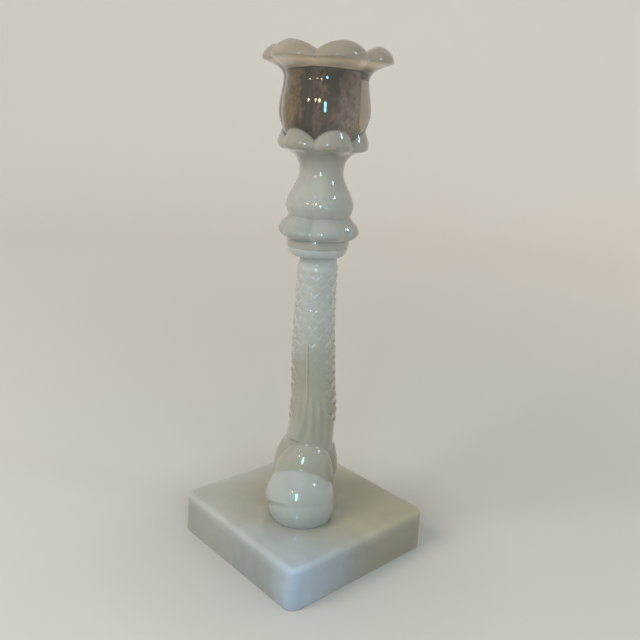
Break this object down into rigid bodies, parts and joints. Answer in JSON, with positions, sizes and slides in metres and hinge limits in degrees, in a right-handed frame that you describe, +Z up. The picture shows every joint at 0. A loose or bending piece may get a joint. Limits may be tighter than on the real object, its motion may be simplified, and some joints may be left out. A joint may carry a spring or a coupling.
{
  "type": "glass candlestick",
  "caption": "Tall pressed-glass candlestick: petalled candle socket with metal liner on a dolphin standard and a square hollow base.",
  "frame": {"origin": "centre of the square base's underside, where it stands on the table", "axes": "+Z up along the socket and column; the base's sides lie along X and Y; the dolphin faces the corner at -X, -Y"},
  "size_m": [0.097, 0.097, 0.2617],
  "materials": {
    "base_glass": "fire-polished translucent grey-white glass",
    "standard_glass": "fire-polished translucent grey-white glass",
    "wafer_glass": "fire-polished translucent grey-white glass",
    "socket_glass": "fire-polished translucent grey-taupe glass",
    "bedding": "dry stained plaster",
    "liner_metal": "dark oxidised pewter, mottled"
  },
  "bodies": {
    "root": {"base_plinth": "base_glass", "dolphin_standard": "standard_glass", "wafer": "wafer_glass", "petal_socket": "socket_glass", "liner_bedding": "bedding", "socket_liner": "liner_metal"}
  },
  "joints": []
}
